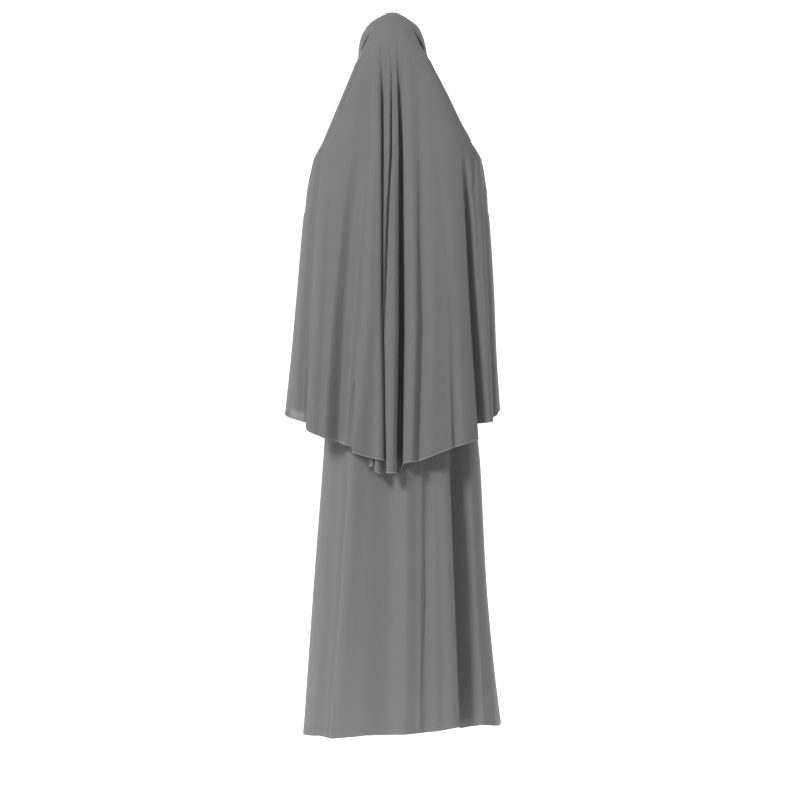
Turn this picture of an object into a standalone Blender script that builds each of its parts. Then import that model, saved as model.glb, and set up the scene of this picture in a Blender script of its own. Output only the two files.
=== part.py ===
# Khimar and abaya set: a long hooded cape over a long A-line dress, in the hollow form it is worn in.
# The origin is the inside of the hood's crown. +Z is up, the back faces +Y, its own left is +X.

import math

import bpy
import numpy as np

# Thickness of each cloth, the face band being folded double, and the gap between two cut pieces, in metres
KHIMAR_WALL = 0.002
ABAYA_WALL = 0.0018
BAND_WALL = 0.0024
SEAM_GAP = 0.0003

# How fine the cloth is drawn: its widest column at the hem and at the head, the nearest that two guide lines
# come, and its rows
WIDEST_COLUMN = 0.030
WIDEST_TURN = math.radians(14)
LEAST_ANGLE = math.radians(0.4)
LEAST_GAP = 0.0042
KHIMAR_ROWS = 24
SHOULDER_ROWS = 3
ARMHOLE_STEPS = 8
SKIRT_ROWS = 11
SHARP_ANGLE = math.radians(50)

# Guide lines along a fold, as parts of its reach to either side, and how deep a fold takes the longer list
KNOTS_ON_A_FOLD = (0.9, 0.0, -0.9)
KNOTS_ON_A_DEEP_FOLD = (1.0, 0.55, 0.0, -0.55, -1.0)
DEEP_FOLD = 0.025

# Small steps from which directions and lengths on a form are found: metres, ring numbers, steps a row
PLACE_STEP = 1e-4
RING_STEP = 1e-3
FINE_STEPS = 20

# Colours and finish of the two cloths
KHIMAR_GREY = (0.205, 0.205, 0.208, 1.0)
ABAYA_GREY = (0.190, 0.190, 0.194, 1.0)
CLOTH_ROUGHNESS = 0.85

# A ring is a closed line round a form: its centre back, its two sides, its centre front, all in metres,
# and how square it is, from 1 for an oval down to 0 for a box.
RING_COLUMNS = (
    "back_y", "back_z", "left_x", "right_x", "side_y", "side_z", "front_y", "front_z", "square",
)

# The khimar's rings, from the edge of the face opening over the crown and down to the hem
KHIMAR_RINGS = (
    (-0.086, -0.042, 0.066, -0.066, -0.088, -0.135, -0.082, -0.232, 1.00),  # opening edge
    (-0.066, -0.016, 0.076, -0.076, -0.066, -0.136, -0.088, -0.252, 1.00),  # band seam
    (-0.005, 0.002, 0.083, -0.083, -0.030, -0.140, -0.093, -0.270, 0.96),  # crown
    (0.058, -0.018, 0.085, -0.087, 0.000, -0.152, -0.098, -0.290, 0.94),  # crown back
    (0.099, -0.075, 0.088, -0.093, 0.010, -0.176, -0.103, -0.312, 0.94),  # back of the head
    (0.108, -0.150, 0.113, -0.122, 0.010, -0.208, -0.112, -0.338, 0.92),  # nape
    (0.114, -0.235, 0.143, -0.158, 0.005, -0.274, -0.124, -0.375, 0.88),  # shoulder slope
    (0.132, -0.335, 0.187, -0.207, 0.000, -0.350, -0.142, -0.425, 0.82),  # shoulder point
    (0.150, -0.470, 0.208, -0.225, 0.000, -0.470, -0.160, -0.520, 0.80),  # upper arm
    (0.166, -0.660, 0.226, -0.237, 0.000, -0.640, -0.168, -0.650, 0.80),  # elbow
    (0.180, -0.860, 0.238, -0.243, 0.000, -0.795, -0.172, -0.775, 0.82),  # forearm
    (0.190, -1.046, 0.2516, -0.2516, 0.000, -0.935, -0.172, -0.897, 0.84),  # hem
)

# A fold, in millimetres: how far across from the middle it lies, how far it stands out (+) or in (-), and
# how far it reaches to either side. Start, top, upper, lower and hem are a form's five stations, and every
# fold is flat at the start.
FOLD_COLUMNS = (
    "name",
    "x_start", "x_top", "x_upper", "x_lower", "x_hem",
    "out_top", "out_upper", "out_lower", "out_hem",
    "reach_top", "reach_hem",
)
MILLIMETRE = 0.001

# The khimar's stations, as ring numbers, and its folds
KHIMAR_STATIONS = (3.8, 4.6, 7.8, 9.4, 11.0)
KHIMAR_BACK_FOLDS = (
    ("left side trough", 80, 86, 176, 205, 217, 0, -3, -8, -10, 12, 16),
    ("left side ridge", 72, 78, 161, 179, 188, 0, 4, 8, 10, 16, 20),
    ("left wide trough", 58, 64, 108, 137, 151, -2, -7, -14, -18, 18, 26),
    ("left long ridge", 40, 41, 52, 66, 92, 5, 9, 12, 12, 14, 24),
    ("left deep fold", 29, 29, 27, 25, 21, -18, -26, -26, -18, 9, 10),
    ("middle thin fold", 5, 4, 6, 9, 6, -6, -8, -4, 0, 6, 5),
    ("right deep fold", -17, -18, -22, -22, -19, -18, -26, -28, -28, 9, 11),
    ("right long ridge", -36, -38, -43, -43, -38, 4, 6, 6, 6, 12, 14),
    ("right trough", -54, -57, -65, -66, -58, -3, -8, -11, -12, 14, 15),
    ("right faint trough", -76, -82, -114, -120, -137, 0, -3, -6, -10, 18, 22),
    ("right dark fold", -83, -95, -174, -191, -204, 0, -7, -18, -22, 10, 12),
    ("right side ridge", -87, -106, -200, -214, -223, 0, 4, 8, 8, 12, 14),
)
KHIMAR_FRONT_FOLDS = (
    ("left outer trough", 74, 80, 140, 175, 180, 0, -6, -12, -14, 18, 22),
    ("left ridge", 58, 62, 98, 110, 118, 0, 6, 10, 12, 20, 28),
    ("left inner trough", 38, 40, 54, 52, 58, -3, -8, -14, -16, 14, 20),
    ("middle ridge", 4, 4, 8, 4, 0, 3, 6, 8, 10, 16, 24),
    ("right inner trough", -36, -36, -48, -60, -68, -4, -10, -15, -16, 14, 22),
    ("right ridge", -56, -62, -94, -120, -128, 0, 6, 10, 10, 20, 26),
    ("right outer trough", -74, -82, -150, -182, -190, 0, -6, -10, -12, 18, 22),
)

# The khimar's hems from left to right, as across and height, stepped where a fold hides part of the edge
KHIMAR_BACK_HEM = (
    (0.2516, -0.9375), (0.201, -0.958), (0.197, -0.974), (0.158, -0.992), (0.100, -1.012),
    (0.088, -1.028), (0.026, -1.043), (0.017, -1.073), (-0.009, -1.074), (-0.026, -1.050),
    (-0.065, -1.044), (-0.137, -1.017), (-0.198, -0.996), (-0.208, -0.963), (-0.236, -0.948),
    (-0.2516, -0.9252),
)
KHIMAR_FRONT_HEM = (
    (0.2516, -0.9375), (0.150, -0.914), (0.0, -0.896), (-0.150, -0.908), (-0.2516, -0.9252),
)

# The abaya's rings, from the neck edge over the shoulders and down to the hem
ABAYA_RINGS = (
    (0.050, -0.256, 0.066, -0.080, 0.002, -0.272, -0.062, -0.330, 0.95),  # neck edge
    (0.076, -0.296, 0.110, -0.126, 0.002, -0.292, -0.084, -0.345, 0.88),  # middle of the shoulder
    (0.094, -0.352, 0.148, -0.166, 0.002, -0.326, -0.106, -0.385, 0.84),  # shoulder point
    (0.102, -0.420, 0.138, -0.156, 0.002, -0.420, -0.124, -0.465, 0.78),  # middle of the armhole
    (0.102, -0.520, 0.128, -0.146, 0.002, -0.520, -0.134, -0.535, 0.78),  # underarm
    (0.100, -0.680, 0.128, -0.146, 0.000, -0.680, -0.128, -0.690, 0.84),  # waist
    (0.118, -0.860, 0.150, -0.176, 0.000, -0.860, -0.130, -0.865, 0.88),  # hip
    (0.136, -1.050, 0.1626, -0.2047, 0.000, -1.050, -0.138, -1.055, 0.92),  # below the khimar
    (0.160, -1.370, 0.187, -0.219, 0.000, -1.370, -0.165, -1.375, 0.94),  # knee
    (0.186, -1.680, 0.209, -0.254, 0.000, -1.680, -0.198, -1.680, 0.94),  # hem
)

# The armhole, between two ring numbers, and how far its edges lie from the side seam at their widest
ABAYA_SHOULDER_POINT = 2
ABAYA_UNDERARM = 4
ARMHOLE_OPENING = math.radians(27)

# The abaya's stations, folds and hems
ABAYA_STATIONS = (4.0, 6.2, 7.2, 8.0, 9.0)
ABAYA_BACK_FOLDS = (
    ("left trough", 100, 130, 140, 155, 186, -4, -6, -7, -8, 16, 24),
    ("left long ridge", 80, 100, 112, 134, 162, 6, 8, 10, 12, 18, 26),
    ("left soft trough", 50, 62, 70, 96, 108, -5, -8, -10, -12, 20, 26),
    ("middle ridge", 20, 26, 30, 36, 46, 4, 6, 7, 8, 20, 28),
    ("middle trough", -8, -10, -8, 4, 6, -4, -6, -8, -8, 16, 20),
    ("right ridge", -60, -70, -80, -78, -80, 4, 5, 6, 8, 28, 34),
    ("right dark trough", -100, -130, -148, -164, -178, -6, -14, -18, -20, 18, 28),
    ("right side ridge", -120, -160, -182, -198, -222, 0, 4, 6, 8, 14, 22),
)
ABAYA_FRONT_FOLDS = (
    ("left trough", 90, 120, 135, 150, 160, -6, -10, -12, -14, 20, 28),
    ("left ridge", 60, 70, 85, 95, 104, 5, 8, 10, 12, 22, 30),
    ("middle trough", 10, 12, 20, 30, 36, -6, -10, -14, -16, 20, 28),
    ("middle ridge", -40, -44, -44, -40, -36, 5, 8, 10, 12, 22, 30),
    ("right trough", -80, -100, -112, -116, -122, -6, -10, -14, -15, 20, 28),
    ("right ridge", -110, -145, -160, -170, -186, 4, 6, 8, 10, 18, 26),
)
ABAYA_BACK_HEM = (
    (0.209, -1.686), (0.171, -1.680), (0.137, -1.684), (0.061, -1.674), (-0.028, -1.671),
    (-0.103, -1.664), (-0.162, -1.654), (-0.198, -1.652), (-0.254, -1.664),
)
ABAYA_FRONT_HEM = (
    (0.209, -1.686), (0.100, -1.688), (0.0, -1.690), (-0.162, -1.687), (-0.205, -1.680), (-0.254, -1.664),
)

# A sleeve ring below the armhole: the points furthest from and nearest the body, its middle and half depth
SLEEVE_COLUMNS = ("outer_x", "outer_z", "inner_x", "inner_z", "middle_y", "half_back")
SLEEVE_RINGS = (
    (0.187, -0.358, 0.146, -0.532, 0.000, 0.054),  # sleeve cap
    (0.2065, -0.425, 0.149, -0.548, 0.000, 0.054),
    (0.211, -0.510, 0.150, -0.575, 0.002, 0.052),
    (0.212, -0.600, 0.151, -0.625, 0.003, 0.050),
    (0.217, -0.690, 0.156, -0.690, -0.002, 0.047),  # elbow
    (0.222, -0.780, 0.166, -0.780, -0.020, 0.043),
    (0.226, -0.890, 0.170, -0.890, -0.038, 0.044),  # cuff
)
SLEEVE_MIDDLE_X = -0.009
SLEEVE_SIDES = (("left", 1.0), ("right", -1.0))

# The ring the face band is sewn on, the rings from which each hem slants, and how near a side folds fade out
BAND_SEAM_RING = 1.0
KHIMAR_DROP_STARTS = 8.5
ABAYA_DROP_STARTS = 7.0
SIDE_FADE = 0.012


def clear_scene():
    for item in list(bpy.data.objects):
        bpy.data.objects.remove(item, do_unlink=True)


def cloth_material(name, colour):
    material = bpy.data.materials.new(name)
    material.use_nodes = True
    shader = material.node_tree.nodes["Principled BSDF"]
    shader.inputs["Base Color"].default_value = colour
    shader.inputs["Roughness"].default_value = CLOTH_ROUGHNESS
    shader.inputs["Metallic"].default_value = 0.0
    return material


def smooth_values(values, where):
    """A smooth curve through evenly spaced values, read at positions counted from 0."""
    values = np.asarray(values, float)
    slopes = np.gradient(values)
    first = np.clip(np.floor(where).astype(int), 0, len(values) - 2)
    part = where - first
    rise = values[first + 1] - values[first]
    bend_in = slopes[first] - rise
    bend_out = rise - slopes[first + 1]
    return values[first] + part * rise + part * (1 - part) * (bend_in * (1 - part) + bend_out * part)


def signed_power(values, power):
    return np.sign(values) * np.abs(values) ** power


def ring_sizes(rings, where):
    """Every column of a ring table, read at ring positions."""
    return {name: smooth_values(values, where) for name, values in zip(RING_COLUMNS, zip(*rings))}


def ring_points(rings, where, angle):
    """A grid of points on a form. Angle is 0 at centre back, a quarter turn at the left side."""
    size = {name: values[:, None] for name, values in ring_sizes(rings, where).items()}
    across = signed_power(np.sin(angle), size["square"])
    along = signed_power(np.cos(angle), size["square"])
    middle = (size["left_x"] + size["right_x"]) / 2
    half = (size["left_x"] - size["right_x"]) / 2
    parts = [middle + half * across]
    for axis in "yz":
        back, side, front = size["back_" + axis], size["side_" + axis], size["front_" + axis]
        parts.append(side + (back - front) / 2 * along + ((back + front) / 2 - side) * along ** 2)
    return np.stack(parts, axis=-1)


def unit(vectors):
    return vectors / np.linalg.norm(vectors, axis=-1, keepdims=True)


class Panel:
    """One cut piece of a form. A place is measured across its hem, and a ring down its length."""

    def __init__(self, rings, stations, folds, hem, drop_starts, front=False, armhole=None):
        self.rings = rings
        self.stations = np.asarray(stations)
        self.folds = [self.read_fold(row) for row in folds]
        self.hem_places, self.hem_heights = (np.asarray(column) for column in zip(*hem[::-1]))
        self.drop_starts = drop_starts
        self.front = front
        self.outward = -1.0 if front else 1.0
        self.armhole = armhole
        self.last = len(rings) - 1.0
        self.guides = self.pick_guides()
        places = [guide[0] for guide in self.guides]
        self.knots = np.concatenate([self.hem_places[:1], places, self.hem_places[-1:]])
        self.hem_drops = self.hem_heights - self.plain(self.hem_places, np.array([self.last]))[0, :, 2]

    @staticmethod
    def read_fold(row):
        return {name: value * MILLIMETRE for name, value in zip(FOLD_COLUMNS[1:], row[1:])}

    def across_at(self, fold, rings):
        names = ("x_start", "x_top", "x_upper", "x_lower", "x_hem")
        return np.interp(rings, self.stations, [fold[name] for name in names])

    def out_at(self, fold, rings):
        names = ("out_top", "out_upper", "out_lower", "out_hem")
        return np.interp(rings, self.stations, [0.0] + [fold[name] for name in names])

    def reach_at(self, fold, rings):
        ends = (self.stations[1], self.stations[-1])
        return np.interp(rings, ends, (fold["reach_top"], fold["reach_hem"]))

    def pick_guides(self):
        """The fold edges and middles that columns follow, leaving out those close to a deeper fold's."""
        guides, kept = [], []
        rings = self.stations[2:]
        for fold in sorted(self.folds, key=lambda fold: -abs(fold["out_lower"])):
            deep = abs(fold["out_lower"]) > DEEP_FOLD
            for part in KNOTS_ON_A_DEEP_FOLD if deep else KNOTS_ON_A_FOLD:
                line = self.across_at(fold, rings) + self.reach_at(fold, rings) * part
                if all(np.abs(line - other).min() > LEAST_GAP for other in kept):
                    kept.append(line)
                    guides.append((line[-1], fold, part))
        return sorted(guides, key=lambda guide: guide[0])

    def knot_lines(self, rings):
        """How far across the guide lines lie, right to left."""
        return np.array([
            self.across_at(fold, rings) + self.reach_at(fold, rings) * part for _, fold, part in self.guides
        ])

    def knot_angles(self, rings):
        """The guide lines as angles, from side seam to side seam, kept a least angle apart."""
        rings = np.maximum(rings, self.stations[0])
        size = ring_sizes(self.rings, rings)
        middle = (size["left_x"] + size["right_x"]) / 2
        half = (size["left_x"] - size["right_x"]) / 2
        share = np.clip((self.knot_lines(rings) - middle) / half, -1, 1)
        edge = np.full((1, len(rings)), math.pi / 2)
        angles = np.concatenate([-edge, np.arcsin(signed_power(share, 1 / size["square"])), edge])
        spread = np.arange(len(angles))[:, None] * LEAST_ANGLE
        angles = np.maximum.accumulate(angles - spread) + spread
        return np.minimum(angles, edge - (spread[-1] - spread))

    def columns(self, widest):
        """Places across the hem, on every guide line and with no column too wide at the hem or the head."""
        angles = self.knot_angles(self.stations[:1])[:, 0]
        widths, turns = np.diff(self.knots), np.diff(angles)
        places = [self.knots[0]]
        for start, width, turn in zip(self.knots, widths, turns):
            steps = max(math.ceil(width / widest), math.ceil(turn / WIDEST_TURN))
            places += [start + width * step / steps for step in range(1, steps + 1)]
        return np.asarray(places)

    def edge_share(self, rings):
        """How much of the quarter turn to its side seam the panel takes up, less beside the armhole."""
        if self.armhole is None:
            return np.ones(len(rings))
        top, bottom = self.armhole
        share = (rings - (top + bottom) / 2) / ((bottom - top) / 2)
        return 1 - ARMHOLE_OPENING / (math.pi / 2) * np.sqrt(np.clip(1 - share ** 2, 0, 1))

    def angles(self, places, rings, edge):
        knot_angles = self.knot_angles(rings).T
        angles = np.array([np.interp(places, self.knots, line) for line in knot_angles]) * edge[:, None]
        return math.pi - angles if self.front else angles

    def plain(self, places, rings, edge=None):
        edge = self.edge_share(rings) if edge is None else edge
        return ring_points(self.rings, rings, self.angles(places, rings, edge))

    def slant(self, places, rings):
        """How far each point is lowered, so that the hem is as high as the panel is cut to."""
        share = np.clip((rings - self.drop_starts) / (self.last - self.drop_starts), 0, 1)
        drop = np.interp(places, self.hem_places, self.hem_drops)
        return (share ** 2 * (3 - 2 * share))[:, None] * drop

    def fold_depths(self, across, places, rings):
        """How far the folds move each point out of the plain form, nothing at the side seams."""
        total = np.zeros_like(across)
        for fold in self.folds:
            away = (across - self.across_at(fold, rings)[:, None]) / self.reach_at(fold, rings)[:, None]
            total += self.out_at(fold, rings)[:, None] * np.clip(1 - away ** 2, 0, 1) ** 2
        side = np.minimum(places - self.knots[0], self.knots[-1] - places)
        return total * np.clip(side / SIDE_FADE, 0, 1)

    def normals(self, surface, places, rings, edge):
        """Directions out of a surface of the panel, from small steps across it and down it."""
        after = np.minimum(places + PLACE_STEP, self.knots[-1])
        before = np.maximum(places - PLACE_STEP, self.knots[0])
        across = surface(after, rings, edge) - surface(before, rings, edge)
        down = surface(places, rings + RING_STEP, edge) - surface(places, rings - RING_STEP, edge)
        return self.outward * unit(np.cross(across, down))

    def surface(self, places, rings, edge):
        """The plain form moved out and in by the folds, and lowered to its hem."""
        points = self.plain(places, rings, edge)
        depths = self.fold_depths(points[:, :, 0], places, rings)
        points = points + self.normals(self.plain, places, rings, edge) * depths[:, :, None]
        points[:, :, 2] += self.slant(places, rings)
        return points

    def wall(self, places, rings, thickness):
        """Outer and inner points of the panel's cloth, its side edges drawn back by half a seam gap."""
        edge = self.edge_share(rings)
        outer = self.surface(places, rings, edge)
        inner = outer - self.normals(self.surface, places, rings, edge) * thickness
        for column, step in ((0, PLACE_STEP), (-1, -PLACE_STEP)):
            inside = self.surface(places[[column]] + step, rings, edge)[:, 0]
            shift = unit(inside - outer[:, column]) * SEAM_GAP / 2
            outer[:, column] += shift
            inner[:, column] += shift
        return (outer[:, ::-1], inner[:, ::-1]) if self.front else (outer, inner)


def even_rings(panel, first, last, count):
    """Ring positions that part the panel's middle and sides into rows of like length."""
    fine = np.linspace(first, last, count * FINE_STEPS + 1)
    lines = panel.plain(np.array([panel.knots[0], 0.0, panel.knots[-1]]), fine)
    steps = np.linalg.norm(np.diff(lines, axis=0), axis=-1).mean(axis=1)
    length = np.concatenate([[0.0], np.cumsum(steps)])
    return np.interp(np.linspace(0, length[-1], count + 1), length, fine)


def grid_faces(rows, columns, start, closed, flip):
    faces = []
    for row in range(rows - 1):
        for column in range(columns if closed else columns - 1):
            after = (column + 1) % columns
            a, b = start + row * columns + column, start + row * columns + after
            c, d = b + columns, a + columns
            faces += [(a, c, b), (a, d, c)] if flip else [(a, b, c), (a, c, d)]
    return faces


def strip_faces(outer, inner):
    """Faces between two lines of points, cut so that the edges of two cloths lie alike along a seam."""
    faces = []
    for (a, b), (c, d) in zip(zip(outer[:-1], outer[1:]), zip(inner[:-1], inner[1:])):
        faces += [(a, b, d), (a, d, c)] if a < b else [(a, b, c), (b, d, c)]
    return faces


def wall_object(name, outer, inner, material, closed=False):
    """A closed solid between two grids of points, smooth on its faces and sharp at its cut edges."""
    rows, columns = outer.shape[:2]
    inside = rows * columns
    index = np.arange(inside).reshape(rows, columns)
    faces = grid_faces(rows, columns, 0, closed, flip=False)
    faces += grid_faces(rows, columns, inside, closed, flip=True)
    if closed:
        loops = [np.append(index[0], index[0, 0])[::-1], np.append(index[-1], index[-1, 0])]
    else:
        loops = [np.concatenate([index[0, ::-1], index[1:, 0], index[-1, 1:], index[-2::-1, -1]])]
    for loop in loops:
        faces += strip_faces(loop, loop + inside)
    mesh = bpy.data.meshes.new(name)
    mesh.from_pydata(np.concatenate([outer.reshape(-1, 3), inner.reshape(-1, 3)]).tolist(), [], faces)
    mesh.shade_smooth()
    mesh.set_sharp_from_angle(angle=SHARP_ANGLE)
    mesh.materials.append(material)
    item = bpy.data.objects.new(name, mesh)
    bpy.context.scene.collection.objects.link(item)
    return item


def make_khimar(material):
    """The hooded cape: a band round the face opening, and a back and a front joined at the sides."""
    sizes = (KHIMAR_RINGS, KHIMAR_STATIONS)
    back = Panel(*sizes, KHIMAR_BACK_FOLDS, KHIMAR_BACK_HEM, KHIMAR_DROP_STARTS)
    front = Panel(*sizes, KHIMAR_FRONT_FOLDS, KHIMAR_FRONT_HEM, KHIMAR_DROP_STARTS, front=True)
    rings = even_rings(back, BAND_SEAM_RING, back.last, KHIMAR_ROWS)
    for name, panel in (("khimar_back", back), ("khimar_front", front)):
        outer, inner = panel.wall(panel.columns(WIDEST_COLUMN), rings, KHIMAR_WALL)
        for face in (outer, inner):
            face[0] += unit(face[1] - face[0]) * SEAM_GAP
        wall_object(name, outer, inner, material)
    make_face_band(back, front, material)


def make_face_band(back, front, material):
    """A folded casing round the face opening, with its columns in line with those of the two panels."""
    rings = np.array([0.0, BAND_SEAM_RING])
    edge = np.ones(len(rings))
    back_angles = back.angles(back.columns(WIDEST_COLUMN), rings, edge)
    front_angles = front.angles(front.columns(WIDEST_COLUMN), rings, edge)[:, ::-1]
    angles = np.concatenate([back_angles[:, :-1], front_angles[:, :-1]], axis=1)
    outer = ring_points(KHIMAR_RINGS, rings, angles)
    across = ring_points(KHIMAR_RINGS, rings, angles + PLACE_STEP) - outer
    down = ring_points(KHIMAR_RINGS, rings + RING_STEP, angles) - outer
    inner = outer - unit(np.cross(across, down)) * BAND_WALL
    wall_object("khimar_face_band", outer, inner, material, closed=True)


def make_abaya(material):
    """The long dress: a back and a front joined at the shoulders and sides, and two set-in sleeves."""
    armhole = (ABAYA_SHOULDER_POINT, ABAYA_UNDERARM)
    sizes = (ABAYA_RINGS, ABAYA_STATIONS)
    back = Panel(*sizes, ABAYA_BACK_FOLDS, ABAYA_BACK_HEM, ABAYA_DROP_STARTS, armhole=armhole)
    front = Panel(
        *sizes, ABAYA_FRONT_FOLDS, ABAYA_FRONT_HEM, ABAYA_DROP_STARTS, front=True, armhole=armhole
    )
    turns = np.linspace(0, math.pi, ARMHOLE_STEPS + 1)
    beside_armhole = ABAYA_SHOULDER_POINT + (ABAYA_UNDERARM - ABAYA_SHOULDER_POINT) * (1 - np.cos(turns)) / 2
    shoulder = np.linspace(0, ABAYA_SHOULDER_POINT, SHOULDER_ROWS + 1)
    skirt = even_rings(back, ABAYA_UNDERARM, back.last, SKIRT_ROWS)
    rings = np.concatenate([shoulder[:-1], beside_armhole, skirt[1:]])
    for name, panel in (("abaya_back", back), ("abaya_front", front)):
        wall_object(name, *panel.wall(panel.columns(WIDEST_COLUMN), rings, ABAYA_WALL), material)
    for side, way in SLEEVE_SIDES:
        loop = armhole_loop(back, front, beside_armhole, way)
        make_sleeve("abaya_sleeve_" + side, loop, way, material)


def armhole_loop(back, front, rings, way):
    """The sleeve's first ring: just inside the armhole, down its back edge and up its front edge."""
    edges, directions = [], []
    for panel in (back, front):
        end = panel.knots[-1:] if way > 0 else panel.knots[:1]
        edges.append(panel.plain(end, rings)[:, 0])
        directions.append(panel.normals(panel.plain, end, rings, panel.edge_share(rings))[:, 0])
    loop = np.concatenate([edges[0], edges[1][-2:0:-1]])
    out = np.concatenate([directions[0], directions[1][-2:0:-1]])
    along = np.roll(loop, -1, axis=0) - np.roll(loop, 1, axis=0)
    return loop + way * unit(np.cross(along, out)) * SEAM_GAP


def make_sleeve(name, loop, way, material):
    """A bent tube from the armhole to the cuff, flattened between the body and the cape."""
    turns = np.linspace(0, 2 * math.pi, 2 * ARMHOLE_STEPS, endpoint=False)[:, None]
    rings = [loop]
    for row in SLEEVE_RINGS:
        size = dict(zip(SLEEVE_COLUMNS, row))
        outer = np.array([SLEEVE_MIDDLE_X + way * size["outer_x"], size["middle_y"], size["outer_z"]])
        inner = np.array([SLEEVE_MIDDLE_X + way * size["inner_x"], size["middle_y"], size["inner_z"]])
        backward = np.array([0.0, size["half_back"], 0.0])
        rings.append((outer + inner) / 2 + (outer - inner) / 2 * np.cos(turns) + backward * np.sin(turns))
    points = np.stack(rings)
    if way > 0:
        points = points[:, ::-1]
    around = np.roll(points, -1, axis=1) - np.roll(points, 1, axis=1)
    down = np.gradient(points, axis=0)
    inner = points - unit(np.cross(around, down)) * ABAYA_WALL
    wall_object(name, points, inner, material, closed=True)


clear_scene()
make_khimar(cloth_material("khimar_cloth", KHIMAR_GREY))
make_abaya(cloth_material("abaya_cloth", ABAYA_GREY))
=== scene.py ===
# Looks of the khimar and abaya set: fine cloth on the forms of its solids, with hems, seams and
# stitches, on a pale floor in soft light, seen from the back.

import math

import bpy
import numpy as np
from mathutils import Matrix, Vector


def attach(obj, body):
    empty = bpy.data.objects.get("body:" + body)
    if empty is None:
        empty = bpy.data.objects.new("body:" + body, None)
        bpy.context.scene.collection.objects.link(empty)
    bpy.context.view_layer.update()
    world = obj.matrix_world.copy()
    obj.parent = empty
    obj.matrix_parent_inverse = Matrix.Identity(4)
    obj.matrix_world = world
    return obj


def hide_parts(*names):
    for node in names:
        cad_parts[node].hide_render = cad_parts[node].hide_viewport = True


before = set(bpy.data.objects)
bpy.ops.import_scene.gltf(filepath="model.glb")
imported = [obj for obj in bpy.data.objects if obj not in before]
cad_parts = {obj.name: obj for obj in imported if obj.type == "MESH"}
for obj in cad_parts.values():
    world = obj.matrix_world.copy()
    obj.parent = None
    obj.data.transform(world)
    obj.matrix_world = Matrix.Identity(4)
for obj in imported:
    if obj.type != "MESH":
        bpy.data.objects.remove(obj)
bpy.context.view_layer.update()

# The thickness of the cloth that shows, and a millimetre, in metres
CLOTH = 0.0009
MILLIMETRE = 0.001

# How fine the cloth is drawn: the width of its columns, and the height of its rows on the crown, at the
# temples, on the dress's shoulders and elsewhere
COLUMN_WIDTH = 0.0031
CROWN_ROW_LENGTH = 0.0065
TEMPLE_RINGS = (2.4, 4.8)
TEMPLE_ROW_LENGTH = 0.0034
ROW_LENGTH = 0.012
SHOULDER_ROW_LENGTH = 0.008
BAND_ROWS = 14
BAND_STEPS = 360
SLEEVE_STEPS_AROUND = 72
SLEEVE_ROWS = 96
STAGE_STEPS = 24
SHARP_ANGLE = math.radians(45)

# A hem turned under and stitched: its depth, its rise over the cloth, how far up its stitches run, and
# how much paler its edge is painted, a painted highlight along the rolled edge. The cape's is a narrow
# roll and the dress's is deep. Its rows of points stand some ramps above it, and at parts of the way
# from its edge to its stitches.
HEM_RAMP = 0.0012
HEM_RAMPS_ABOVE = (6.0, 3.2, 2.0, 1.2)
HEM_PARTS_BELOW = (0.72, 0.45, 0.2, 0.08)
STITCH_DIP = 0.0004
STITCH_GROOVE = 0.0008
KHIMAR_HEM = {"depth": 0.0036, "rise": 0.0008, "stitch": 0.0042, "pale": 0.28}
ABAYA_HEM = {"depth": 0.0205, "rise": 0.0005, "stitch": 0.0190, "pale": 0.0}
HEM_ZONE = 0.034
HEM_SAMPLES = 24

# How far side seams lie in, and the threads of the stitches
SEAM_REACH = 0.004
SEAM_DIP = 0.0010
STITCH_STEP = 0.0042
STITCH_LENGTH = 0.0030
THREAD = 0.00022

# The casing round the face, gathered by its elastic, and the part of its width where its seam lies in
BAND_THICK = 0.0016
BAND_GATHER = 0.0006
BAND_WAVES = 44
BAND_SEAM_STARTS = 0.8

# How large each piece was cut: width, length and area, in metres and square metres
KHIMAR_BACK_CUT = (1.00, 1.18, 0.80)
KHIMAR_FRONT_CUT = (0.80, 0.90, 0.50)
ABAYA_BACK_CUT = (0.66, 1.46, 0.75)
ABAYA_FRONT_CUT = (0.66, 1.44, 0.76)

# Colours of the cloths and threads: a grey, its blue a little over the rest
KHIMAR_GREY = 0.178
ABAYA_GREY = 0.190
# The paler grey is painted light: a painted highlight along the cape's rolled hem and painted light
# shining through the cloth
PAINTED_LIGHT_GREY = 0.36
BLUE_SHARE = 1.012
COLOUR_VARIES = 0.03
THREAD_LIGHTER = 1.15

# Surfaces: matte jersey whose shade varies in soft patches, with upright ribs and a fine grain as relief
CLOTH_LOOK = {
    "Roughness": 0.78, "Specular IOR Level": 0.25, "Sheen Weight": 0.12, "Sheen Roughness": 0.45,
}
PATCHES = {"Scale": 9.0, "Detail": 2.0}
RIBS_PER_METRE = 900.0
WAVES_PER_UNIT = 3.14
RIBS = {"Scale": RIBS_PER_METRE / WAVES_PER_UNIT, "Distortion": 0.6, "Detail": 1.0}
GRAIN = {"Scale": 1400.0}
RELIEF = {"Strength": 0.25, "Distance": 0.0002}
THREAD_ROUGHNESS = 0.6

# The cloth's map, in lengths of cloth, its layer of painted light, and the numbers of a colour mix's
# sockets
CLOTH_MAP = "cloth"
PAINTED_LIGHT_LAYER = "pale"
MIX_SHARE = 0
MIX_FIRST = 6
MIX_SECOND = 7
MIX_COLOUR = 2

# The camera looks level at the back, from where the photograph was taken
CAMERA_PLACE = (-0.01755, 8.0, -0.90558)
CAMERA_LENS = 153.8
CAMERA_SENSOR = 36.0
CAMERA_REACH = 50.0

# The floor and its backdrop. They glow behind the set, and fade towards the camera between two y values.
FLOOR_Z = -1.82
STAGE_NEAR = 9.0
STAGE_FAR = -11.0
STAGE_CURVE = 4.0
STAGE_TOP = 15.0
STAGE_SIDE = 19.0
STAGE_GLOW = 0.90
GLOW_ENDS = (0.35, 0.95)
STAGE_LOOK = {
    "Base Color": (0.8, 0.8, 0.8, 1.0), "Roughness": 0.9, "Specular IOR Level": 0.1,
    "Emission Color": (1.0, 1.0, 1.0, 1.0),
}

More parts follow.
